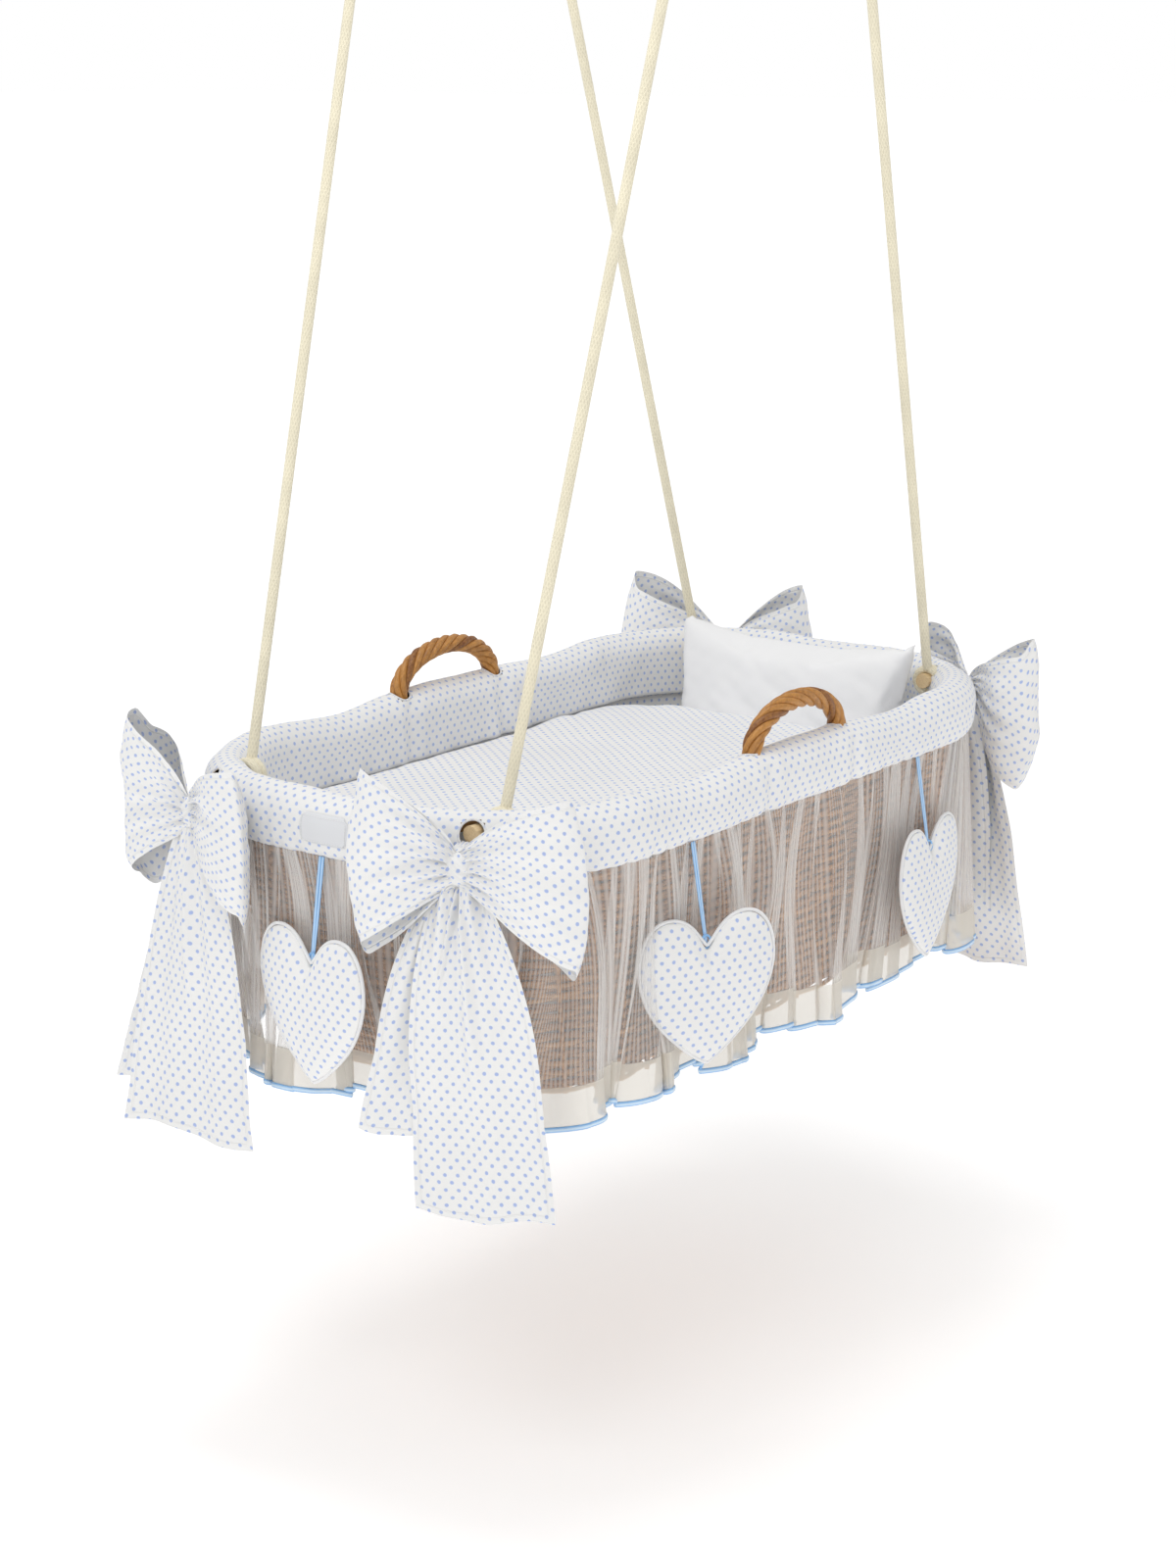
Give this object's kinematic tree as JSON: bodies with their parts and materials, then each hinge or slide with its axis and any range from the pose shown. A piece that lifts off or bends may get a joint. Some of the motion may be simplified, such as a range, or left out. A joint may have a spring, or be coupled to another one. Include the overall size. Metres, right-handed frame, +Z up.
{
  "type": "hanging cradle",
  "caption": "Hanging wicker cradle with padded dotted rim cover, sheer skirt, corner bows, hearts on ribbons, quilt and pillow, on ropes from ceiling eyes.",
  "frame": {"origin": "middle of the ceiling plates, on the ceiling", "axes": "+Z up, +X towards the head end with the pillow, +Y to the left of someone who looks from the foot end to the head end"},
  "size_m": [0.9626, 0.5439, 1.152],
  "materials": {
    "willow": "peeled and stained willow, woven",
    "stripped_wood": "bare, cut wood",
    "dotted_cotton": "matte cotton with small pale blue dots",
    "plain_cotton": "matte white cotton",
    "sheer": "sheer white organza",
    "satin": "satin",
    "rope": "braided raw cotton",
    "steel": "bright zinc plate"
  },
  "bodies": {
    "ceiling": {"ceiling_plate_foot_left": "steel", "ceiling_plate_foot_right": "steel", "ceiling_plate_head_right": "steel", "ceiling_plate_head_left": "steel"},
    "ring_foot_left": {"ring_foot_left": "steel"},
    "rope_foot_left": {"rope_foot_left": "rope", "rope_eye_foot_left": "rope"},
    "ring_foot_right": {"ring_foot_right": "steel"},
    "rope_foot_right": {"rope_foot_right": "rope", "rope_eye_foot_right": "rope"},
    "ring_head_right": {"ring_head_right": "steel"},
    "rope_head_right": {"rope_head_right": "rope", "rope_eye_head_right": "rope"},
    "ring_head_left": {"ring_head_left": "steel"},
    "rope_head_left": {"rope_head_left": "rope", "rope_eye_head_left": "rope"},
    "knot_foot_left": {"lower_knot_foot_left": "rope"},
    "basket": {"wicker_wall": "willow", "wicker_border": "willow", "wicker_base": "willow", "rim_cover": "dotted_cotton", "inner_liner": "dotted_cotton", "skirt": "sheer", "skirt_binding": "satin", "bare_patch": "plain_cotton", "handle_left": "willow", "handle_right": "willow", "peg_foot_left": "stripped_wood", "peg_foot_right": "stripped_wood", "peg_head_right": "stripped_wood", "peg_head_left": "stripped_wood", "bow_foot_left": "dotted_cotton", "bow_foot_right": "dotted_cotton", "bow_head_right": "dotted_cotton", "bow_head_left": "dotted_cotton", "lower_knot_foot_right": "rope", "lower_knot_head_right": "rope", "lower_knot_head_left": "rope"},
    "mattress": {"mattress": "plain_cotton"},
    "quilt": {"quilt": "dotted_cotton"},
    "pillow": {"pillow": "plain_cotton"},
    "heart_foot": {"ribbon_foot": "satin", "heart_foot": "dotted_cotton"},
    "heart_head": {"ribbon_head": "satin", "heart_head": "dotted_cotton"},
    "heart_right_foot": {"ribbon_right_foot": "satin", "heart_right_foot": "dotted_cotton"},
    "heart_right_head": {"ribbon_right_head": "satin", "heart_right_head": "dotted_cotton"},
    "heart_left_foot": {"ribbon_left_foot": "satin", "heart_left_foot": "dotted_cotton"},
    "heart_left_head": {"ribbon_left_head": "satin", "heart_left_head": "dotted_cotton"}
  },
  "joints": [
    {"name": "end_swing", "type": "hinge", "parent": "ceiling", "child": "ring_foot_left", "pos_m": [-0.14652, 0.181, -0.026], "axis": [0, 1, 0], "range_deg": [-6, 6]},
    {"name": "side_swing", "type": "hinge", "parent": "ring_foot_left", "child": "rope_foot_left", "pos_m": [-0.154, 0.181, -0.05267], "axis": [1, 0, 0], "range_deg": [-8, 8]},
    {"name": "knot_turn_foot_left", "type": "hinge", "parent": "rope_foot_left", "child": "knot_foot_left", "pos_m": [-0.368, 0.15, -0.817], "axis": [1, 0, 0], "range_deg": [-10, 10]},
    {"name": "basket_level", "type": "hinge", "parent": "knot_foot_left", "child": "basket", "pos_m": [-0.368, 0.15, -0.817], "axis": [0, 1, 0], "range_deg": [-2.6, 2.6]},
    {"name": "end_swing_foot_right", "type": "hinge", "parent": "ceiling", "child": "ring_foot_right", "pos_m": [-0.14652, -0.181, -0.026], "axis": [0, 1, 0], "range_deg": [-6.5, 6.5]},
    {"name": "side_swing_foot_right", "type": "hinge", "parent": "ring_foot_right", "child": "rope_foot_right", "pos_m": [-0.154, -0.181, -0.05267], "axis": [1, 0, 0], "range_deg": [-8.5, 8.5]},
    {"name": "end_swing_head_right", "type": "hinge", "parent": "ceiling", "child": "ring_head_right", "pos_m": [0.14652, -0.181, -0.026], "axis": [0, 1, 0], "range_deg": [-6.5, 6.5]},
    {"name": "side_swing_head_right", "type": "hinge", "parent": "ring_head_right", "child": "rope_head_right", "pos_m": [0.154, -0.181, -0.05267], "axis": [1, 0, 0], "range_deg": [-8.5, 8.5]},
    {"name": "end_swing_head_left", "type": "hinge", "parent": "ceiling", "child": "ring_head_left", "pos_m": [0.14652, 0.181, -0.026], "axis": [0, 1, 0], "range_deg": [-6.5, 6.5]},
    {"name": "side_swing_head_left", "type": "hinge", "parent": "ring_head_left", "child": "rope_head_left", "pos_m": [0.154, 0.181, -0.05267], "axis": [1, 0, 0], "range_deg": [-8.5, 8.5]},
    {"name": "mattress_lift", "type": "slide", "parent": "basket", "child": "mattress", "axis": [-0.2746, 0, 0.9616], "range_m": [0, 0.04]},
    {"name": "quilt_lift", "type": "slide", "parent": "mattress", "child": "quilt", "axis": [0, 0, 1], "range_m": [0, 0.07]},
    {"name": "pillow_lift", "type": "slide", "parent": "mattress", "child": "pillow", "axis": [-0.2746, 0, 0.9616], "range_m": [0, 0.1]},
    {"name": "heart_swing_foot", "type": "hinge", "parent": "basket", "child": "heart_foot", "pos_m": [-0.4382, 0, -0.8573], "axis": [0, 1, 0], "range_deg": [0, 60]},
    {"name": "heart_swing_head", "type": "hinge", "parent": "basket", "child": "heart_head", "pos_m": [0.4382, 0, -0.8573], "axis": [0, -1, 0], "range_deg": [0, 60]},
    {"name": "heart_swing_right_foot", "type": "hinge", "parent": "basket", "child": "heart_right_foot", "pos_m": [-0.2, -0.2372, -0.8573], "axis": [-1, 0, 0], "range_deg": [0, 60]},
    {"name": "heart_swing_right_head", "type": "hinge", "parent": "basket", "child": "heart_right_head", "pos_m": [0.2, -0.2372, -0.8573], "axis": [-1, 0, 0], "range_deg": [0, 60]},
    {"name": "heart_swing_left_foot", "type": "hinge", "parent": "basket", "child": "heart_left_foot", "pos_m": [-0.2, 0.2372, -0.8573], "axis": [1, 0, 0], "range_deg": [0, 60]},
    {"name": "heart_swing_left_head", "type": "hinge", "parent": "basket", "child": "heart_left_head", "pos_m": [0.2, 0.2372, -0.8573], "axis": [1, 0, 0], "range_deg": [0, 60]}
  ],
  "couplings": [
    {"joint": "knot_turn_foot_left", "follows": "side_swing", "ratio": -1.207},
    {"joint": "basket_level", "follows": "end_swing", "ratio": -0.398},
    {"joint": "end_swing_foot_right", "follows": "end_swing", "ratio": 1},
    {"joint": "side_swing_foot_right", "follows": "side_swing", "ratio": 1},
    {"joint": "end_swing_head_right", "follows": "end_swing", "ratio": 1},
    {"joint": "side_swing_head_right", "follows": "side_swing", "ratio": 1},
    {"joint": "end_swing_head_left", "follows": "end_swing", "ratio": 1},
    {"joint": "side_swing_head_left", "follows": "side_swing", "ratio": 1}
  ]
}
